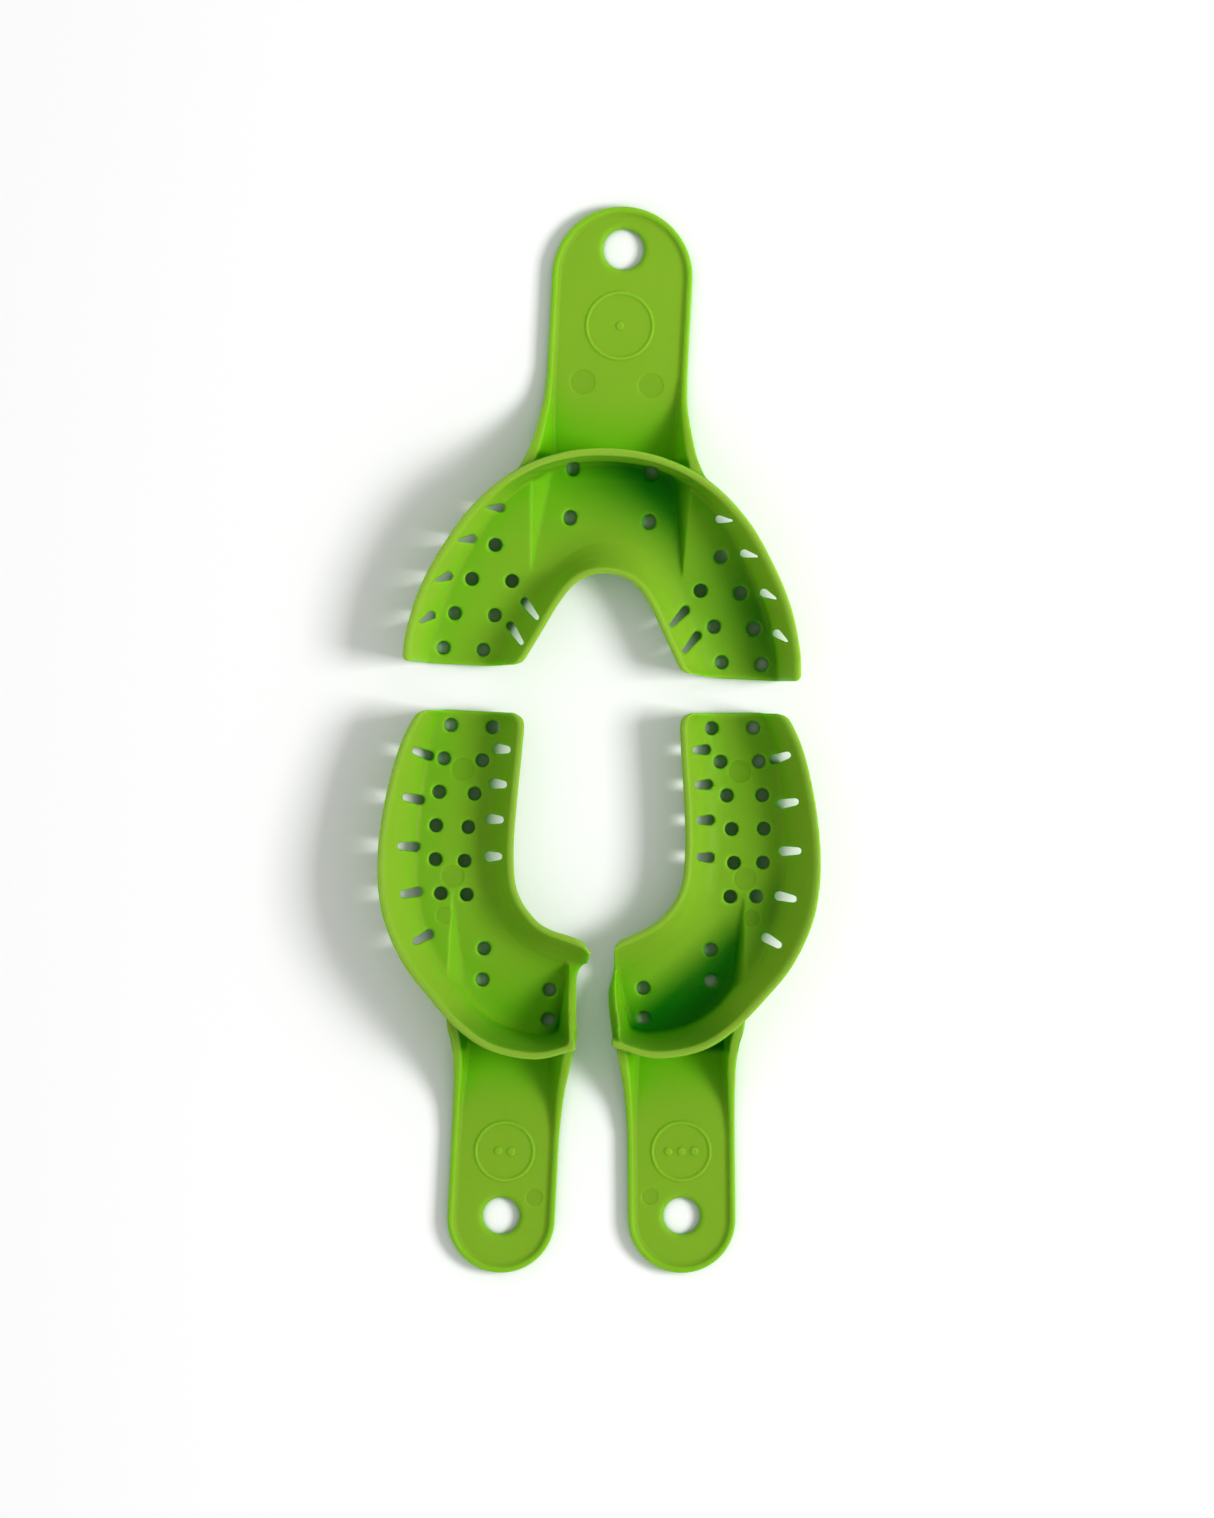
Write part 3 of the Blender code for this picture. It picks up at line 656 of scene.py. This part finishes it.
EARED_QUADRANT_TRAY = {
    "rows": list(QUADRANT[:-5]) + list(EARED_END),
    "one_sided": True,
    "foot_x": 6.2, "top_x": 11.1, "apex": (11.1, -28.0), "flat_to": -14.0, "heel_flat": -54.0,
    "half_width": 9.2, "tip": 36.7,
    "gussets": (((-12.5, 10.9, 13.0), (-6.0, 10.9, 13.0), (-2.0, 9.9, 10.6), (1.5, 9.4, 7.6),
                 (5.0, 9.25, 5.0), (8.5, 9.2, 3.3), (13.0, 9.2, BORDER_HEIGHT)),
                ((-12.5, 9.6, 12.4), (-6.0, 11.2, 12.4), (-2.6, 11.0, 12.0), (0.9, 10.5, 9.0),
                 (4.3, 9.9, 6.0), (8.0, 9.5, 3.7), (13.0, 9.2, BORDER_HEIGHT))),
    "hole_y": 27.0, "hole": 6.2,
    "ring_y": 16.0, "ring": 9.8,
    "pins": ((-5.4, 23.6, 1.5), (12.3, -23.5, 1.5), (11.2, -30.2, 2.0), (10.5, -48.4, 2.0)),
    "pips": 2,
    "end": {"place": 2.6, "reach": 2.2, "bulge": 1.8, "corner": 2.2, "ear": True},
    "shade": {"x": -9.8, "y": -13.4, "direction": (-0.91, 0.42), "softness": 3.0},
    "perforations": quadrant_perforations,
}

# The other quadrant tray, whose end wall is bowed and has no ear.
BOWED_QUADRANT_TRAY = dict(
    EARED_QUADRANT_TRAY,
    rows=list(QUADRANT),
    pips=3,
    end={"place": 6.5, "reach": 7.5, "bulge": 1.7, "corner": 3.0, "ear": False},
    shade={"x": -2.3, "y": -12.9, "direction": (0.65, 0.76), "softness": 5.0},
)

# One row per tray: visible name, CAD node, body, shape, place in mm, turn in degrees, mirrored, then
# the plastic's name, seed and painted lightness, which makes the front tray lighter and the quadrant
# trays darker as uneven light would, and the openness range over which its painted deep shade clears.
TRAYS = (
    ("anterior_moulding", "anterior_tray", "anterior", FRONT_TRAY, (2.4, 48.906), -3.0, False,
     ("anterior_lime", 1, 1.02, (0.62, 1.03))),
    ("left_quadrant_moulding", "left_quadrant_tray", "left_quadrant", EARED_QUADRANT_TRAY,
     (-15.2, -53.894), 177.0, False, ("left_quadrant_lime", 2, 0.93, (0.60, 1.0))),
    ("right_quadrant_moulding", "right_quadrant_tray", "right_quadrant", BOWED_QUADRANT_TRAY,
     (13.8, -53.894), 180.5, True, ("right_quadrant_lime", 3, 0.93, (0.75, 1.15))),
)


def tray_surface(tray, pitch):
    """Points (mm, own frame) and quads of one tray."""
    stations = smooth_rows(tray["rows"], STEPS_FOR_EDGE)
    xs = np.concatenate([stations[:, 0], stations[:, 2]])
    low = np.array([xs.min(), tray["rows"][0][1], 0.0]) - MARGIN
    high = np.array([xs.max(), tray["tip"], FRONT_RIM]) + MARGIN
    axes = [np.arange(low[n], high[n], pitch) for n in range(3)]
    x = axes[0][:, None, None]
    y = axes[1][None, :, None]
    z = axes[2][None, None, :]
    plan = Plan(tray, x, y)
    trough, cavity = trough_field(tray, plan, x, y, z, pitch)
    handle = handle_field(tray, x, y, z, pitch)
    field = round_and(round_or(trough, handle, HANDLE_FILLET), -cavity, EDGE)
    holes, slots = tray["perforations"](tray["rows"])
    for shapes, top in ((holes, HOLE_TOP), (slots, SLOT_TOP)):
        field = round_and(field, -np.maximum(cut_field(shapes, x, y), z - top), HOLE_EDGE)
    hanger = cut_field([circle(0.0, tray["hole_y"], tray["hole"])], x, y) + 0 * z
    field = round_and(field, -hanger, HANDLE_HOLE_EDGE)
    origin = np.array([axis[0] for axis in axes])
    points, quads = surface_net(field, origin, pitch)
    points = project(points, field, origin, pitch)
    points[:, 2] = np.maximum(points[:, 2], 0.0)
    return points, quads


def relief(marks, x, y):
    """Height of the marks above the plain surface at plan points."""
    rise = np.zeros(len(x))
    for kind, cx, cy, radius in marks:
        out = np.hypot(x - cx, y - cy)
        if kind == "ring":
            rise += RING_RISE * np.clip(1 - ((out - radius) / RING_HALF_WIDTH) ** 2, 0, 1)
        elif kind == "pip":
            rise += RING_RISE * np.clip(2 - 2 * (out / radius) ** 2, 0, 1)
        else:
            rise -= PIN_DEPTH * np.clip((radius - out) / PIN_SOFTNESS, 0, 1)
    return rise


def tray_marks(tray):
    """The marks of one tray: the ring with its pips, and the ejector pin faces."""
    marks = [("ring", 0.0, tray["ring_y"], tray["ring"] / 2)]
    for i in range(tray["pips"]):
        marks.append(("pip", (i - (tray["pips"] - 1) / 2) * PIP_PITCH, tray["ring_y"], PIP_RADIUS))
    return marks + [("pin", *pin) for pin in tray["pins"]]


def add_relief(mesh, marks):
    """Refine the upward faces under the marks of a mesh in mm, then raise or sink them."""
    centres = np.empty(len(mesh.polygons) * 3)
    normals = np.empty(len(mesh.polygons) * 3)
    mesh.polygons.foreach_get("center", centres)
    mesh.polygons.foreach_get("normal", normals)
    x, y, z = centres.reshape(-1, 3).T
    near = np.zeros(len(x), dtype=bool)
    for kind, cx, cy, radius in marks:
        near |= np.hypot(x - cx, y - cy) < radius + 2 * RING_HALF_WIDTH
    near &= normals[2::3] > RELIEF_FACE_LEVEL
    bm = bmesh.new()
    bm.from_mesh(mesh)
    bm.faces.ensure_lookup_table()
    edges = {edge for i in np.flatnonzero(near) for edge in bm.faces[i].edges}
    bmesh.ops.subdivide_edges(bm, edges=sorted(edges, key=lambda edge: edge.index), cuts=RELIEF_CUTS,
                              use_grid_fill=True)
    bm.normal_update()
    bm.to_mesh(mesh)
    bm.free()
    places = np.empty(len(mesh.vertices) * 3)
    normals = np.empty(len(mesh.vertices) * 3)
    mesh.vertices.foreach_get("co", places)
    mesh.vertices.foreach_get("normal", normals)
    upward = normals[2::3] > RELIEF_POINT_LEVEL
    places[2::3] += relief(marks, places[0::3], places[1::3]) * upward
    mesh.vertices.foreach_set("co", places)


def ramp(value, span):
    """0 where the span starts, 1 where it stops, straight between."""
    start, stop = span
    return np.clip((value - start) / (stop - start), 0, 1)


def mark_regions(mesh, marks, shade):
    """Point attributes for the material of a mesh in mm: painted shade in the front part of the trough
    and on the inside of the outer wall there, painted light on the rim, and the pin faces."""
    places = np.empty(len(mesh.vertices) * 3)
    normals = np.empty(len(mesh.vertices) * 3)
    mesh.vertices.foreach_get("co", places)
    mesh.vertices.foreach_get("normal", normals)
    x, y, z = places.reshape(-1, 3).T
    level = normals[2::3]
    pins = np.zeros(len(x))
    for kind, cx, cy, radius in marks:
        if kind == "pin":
            pins = np.maximum(pins, np.clip((radius - np.hypot(x - cx, y - cy)) / PIN_SOFTNESS, 0, 1))
    # The front regions mark painted shade: the trough floor and the inside of the outer wall are
    # darkened where the walls would cast shade.
    inside = ramp(-y, BEHIND_RIM) * ramp(level, INSIDE_LEVEL)
    along_x, along_y = shade["direction"]
    beyond = (x - shade["x"]) * along_x + (y - shade["y"]) * along_y
    painted_front_wall_shade = inside * ramp(y, FRONT_WALL_Y)
    regions = {
        "front": inside * np.clip(beyond / shade["softness"] + 0.5, 0, 1),
        "painted_front_wall_shade": painted_front_wall_shade * ramp(level, FRONT_WALL_LEVEL) * ramp(z, FRONT_WALL_HEIGHT),
        # The rim region marks painted light: the rim tops are lighter and yellower, as lit from above.
        "rim": ramp(level, RIM_LEVEL) * ramp(z, RIM_HEIGHT),
        "pin": pins * (level > RELIEF_POINT_LEVEL),
    }
    for name, values in regions.items():
        mesh.attributes.new(name, "FLOAT", "POINT").data.foreach_set("value", values)


def build_tray(name, node, body, tray, place, turn, mirror, material):
    """One tray in the place of its CAD node: shaped, turned and put on the table at place (mm)."""
    points, quads = tray_surface(tray, PITCH)
    item = new_mesh(name, points, quads, material)
    mesh = item.data
    add_relief(mesh, tray_marks(tray))
    mark_regions(mesh, tray_marks(tray), tray["shade"])
    if mirror:
        mesh.transform(Matrix.Scale(-1, 4, Vector((1, 0, 0))))
        mesh.flip_normals()
    mesh.transform(Matrix.Rotation(math.radians(turn), 4, "Z"))
    mesh.transform(Matrix.Scale(MM, 4) @ Matrix.Translation((*place, 0.0)))
    mesh.update()
    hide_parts(node)
    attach(item, body)
    return item


# ---------------------------------------------------------------- material, stage, light, camera

def set_inputs(node, values):
    """Set several sockets of a node."""
    for socket, value in values.items():
        node.inputs[socket].default_value = value


def plastic(name, seed, painted_lightness, shade_clears):
    """Satin lime plastic with painted shade, a deeper green in its hollows and at its front, painted
    light on its rims, flow lines and a fine grain.
    """
    material = bpy.data.materials.new(name)
    material.use_nodes = True
    nodes = material.node_tree.nodes
    links = material.node_tree.links
    shader = nodes["Principled BSDF"]
    place = nodes.new("ShaderNodeTexCoord")
    mapping = nodes.new("ShaderNodeMapping")
    mapping.inputs["Location"].default_value = [seed * shift for shift in SEED_SHIFT]
    links.new(place.outputs["Object"], mapping.inputs["Vector"])

    def noise(scale, detail):
        node = nodes.new("ShaderNodeTexNoise")
        node.inputs["Scale"].default_value = scale
        node.inputs["Detail"].default_value = detail
        links.new(mapping.outputs["Vector"], node.inputs["Vector"])
        return node.outputs["Fac"]

    def map_range(source, span, start, stop, shape="SMOOTHSTEP"):
        node = nodes.new("ShaderNodeMapRange")
        node.interpolation_type = shape
        set_inputs(node, {"From Min": span[0], "From Max": span[1], "To Min": start, "To Max": stop})
        links.new(source, node.inputs["Value"])
        return node.outputs["Result"]

    def mix(factor, first, second):
        node = nodes.new("ShaderNodeMix")
        node.data_type = "RGBA"
        links.new(factor, node.inputs["Factor"])
        for socket, value in (("A", first), ("B", second)):
            if isinstance(value, tuple):
                node.inputs[socket].default_value = value
            else:
                links.new(value, node.inputs[socket])
        return node.outputs["Result"]

    def region(attribute):
        node = nodes.new("ShaderNodeAttribute")
        node.attribute_name = attribute
        return node.outputs["Fac"]

    def product(first, second):
        node = nodes.new("ShaderNodeMath")
        node.operation = "MULTIPLY"
        links.new(first, node.inputs[0])
        links.new(second, node.inputs[1])
        return node.outputs["Value"]

    # Painted shade: the colour turns a deeper green where the ambient occlusion finds the plastic hemmed
    # in.
    openness = nodes.new("ShaderNodeAmbientOcclusion")
    openness.samples = OPENNESS_SAMPLES
    openness.inputs["Distance"].default_value = HOLLOW_REACH
    position = nodes.new("ShaderNodeSeparateXYZ")
    links.new(place.outputs["Object"], position.inputs["Vector"])
    tone = mix(map_range(openness.outputs["AO"], HOLLOW_TO_OPEN, 0.0, 1.0), PAINTED_HOLLOW_SHADE_GREEN, OPEN_GREEN)
    # More painted shade: a deep green in the marked front region, where it lies low and shut in.
    hidden = map_range(openness.outputs["AO"], shade_clears, 1.0, 0.0)
    low = map_range(position.outputs["Z"], SHADE_HEIGHT, 1.0, 0.0)
    tone = mix(product(product(hidden, low), region("front")), tone, PAINTED_DEEP_SHADE_GREEN)
    # Painted shade on the inside of the front wall.
    tone = mix(map_range(region("painted_front_wall_shade"), (0.0, 1.0), 0.0, FRONT_WALL_SHADE), tone, PAINTED_DEEP_SHADE_GREEN)
    # Painted light: the rim tops get a lighter, yellower green.
    tone = mix(region("rim"), tone, PAINTED_RIM_LIGHT_GREEN)
    # Painted light: each tray's lightness scales its colour up or down in place of uneven light; the
    # drift is a random tone.
    darkest, lightest = (1 - DRIFT) * painted_lightness, (1 + DRIFT) * painted_lightness
    drift = map_range(noise(*DRIFT_NOISE), (0.0, 1.0), darkest, lightest, "LINEAR")
    polish = map_range(region("pin"), (0.0, 1.0), 1.0, PIN_POLISH)
    shade = nodes.new("ShaderNodeHueSaturation")
    links.new(product(drift, polish), shade.inputs["Value"])
    links.new(tone, shade.inputs["Color"])
    links.new(shade.outputs["Color"], shader.inputs["Base Color"])

    gloss = map_range(noise(*ROUGHNESS_NOISE), (0.0, 1.0), *ROUGHNESS, "LINEAR")
    links.new(gloss, shader.inputs["Roughness"])

    waves = nodes.new("ShaderNodeTexWave")
    set_inputs(waves, FLOW)
    links.new(mapping.outputs["Vector"], waves.inputs["Vector"])
    flow = nodes.new("ShaderNodeBump")
    set_inputs(flow, FLOW_BUMP)
    links.new(waves.outputs["Fac"], flow.inputs["Height"])
    grain = nodes.new("ShaderNodeBump")
    set_inputs(grain, GRAIN_BUMP)
    links.new(noise(*GRAIN_NOISE), grain.inputs["Height"])
    links.new(flow.outputs["Normal"], grain.inputs["Normal"])
    links.new(grain.outputs["Normal"], shader.inputs["Normal"])
    set_inputs(shader, SHADER)
    return material


def pale_floor():
    """A plain pale floor, with a faint mottle, and painted dark green shade only where the trays almost
    touch it.
    """
    material = bpy.data.materials.new("floor_white")
    material.use_nodes = True
    nodes = material.node_tree.nodes
    links = material.node_tree.links
    shader = nodes["Principled BSDF"]
    noise = nodes.new("ShaderNodeTexNoise")
    noise.inputs["Scale"].default_value = FLOOR_MOTTLE_SCALE
    tone = nodes.new("ShaderNodeValToRGB")
    for element, white in zip(tone.color_ramp.elements, FLOOR_WHITES):
        element.color = white
    links.new(noise.outputs["Fac"], tone.inputs["Fac"])
    # Painted shade: the floor turns a dark green where the ambient occlusion finds it under a tray.
    openness = nodes.new("ShaderNodeAmbientOcclusion")
    openness.samples = OPENNESS_SAMPLES
    openness.inputs["Distance"].default_value = CREVICE_REACH
    floor_shade = nodes.new("ShaderNodeMapRange")
    set_inputs(floor_shade, {"From Min": CREVICE_TO_OPEN[0], "From Max": CREVICE_TO_OPEN[1]})
    links.new(openness.outputs["AO"], floor_shade.inputs["Value"])
    blend = nodes.new("ShaderNodeMix")
    blend.data_type = "RGBA"
    blend.inputs["A"].default_value = PAINTED_FLOOR_SHADE_GREEN
    links.new(floor_shade.outputs["Result"], blend.inputs["Factor"])
    links.new(tone.outputs["Color"], blend.inputs["B"])
    links.new(blend.outputs["Result"], shader.inputs["Base Color"])
    shader.inputs["Roughness"].default_value = FLOOR_ROUGHNESS
    corners = np.array([(-1, -1, 0), (1, -1, 0), (1, 1, 0), (-1, 1, 0)]) * FLOOR_HALF
    corners[:, 2] = -FLOOR_DROP
    new_mesh("floor", corners, np.array([[0, 1, 2, 3]]), material)


def area_light(name, place, size, power):
    """A soft square light that faces the trays."""
    light = bpy.data.lights.new(name, "AREA")
    light.shape = "SQUARE"
    light.size = size
    light.energy = power
    item = bpy.data.objects.new(name, light)
    item.location = place
    item.rotation_euler = (-Vector(place)).to_track_quat("-Z", "Y").to_euler()
    bpy.context.scene.collection.objects.link(item)


def camera():
    """Long lens looking straight down."""
    data = bpy.data.cameras.new("camera")
    data.sensor_fit = "VERTICAL"
    data.sensor_height = CAMERA_SENSOR
    data.sensor_width = CAMERA_SENSOR
    data.lens = CAMERA_SENSOR * CAMERA_PLACE[2] / VIEW_HEIGHT
    item = bpy.data.objects.new("camera", data)
    item.location = CAMERA_PLACE
    bpy.context.scene.collection.objects.link(item)
    bpy.context.scene.camera = item


def world(strength):
    """Even white surroundings."""
    surroundings = bpy.data.worlds.new("studio")
    surroundings.use_nodes = True
    background = surroundings.node_tree.nodes["Background"]
    background.inputs["Color"].default_value = (1.0, 1.0, 1.0, 1.0)
    background.inputs["Strength"].default_value = strength
    bpy.context.scene.world = surroundings


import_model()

for name, node, body, tray, place, turn, mirrored, finish in TRAYS:
    build_tray(name, node, body, tray, place, turn, mirrored, plastic(*finish))

pale_floor()
area_light("key", KEY_PLACE, KEY_SIZE, KEY_POWER)
world(WORLD_STRENGTH)
bpy.context.scene.view_settings.view_transform = "Standard"
camera()
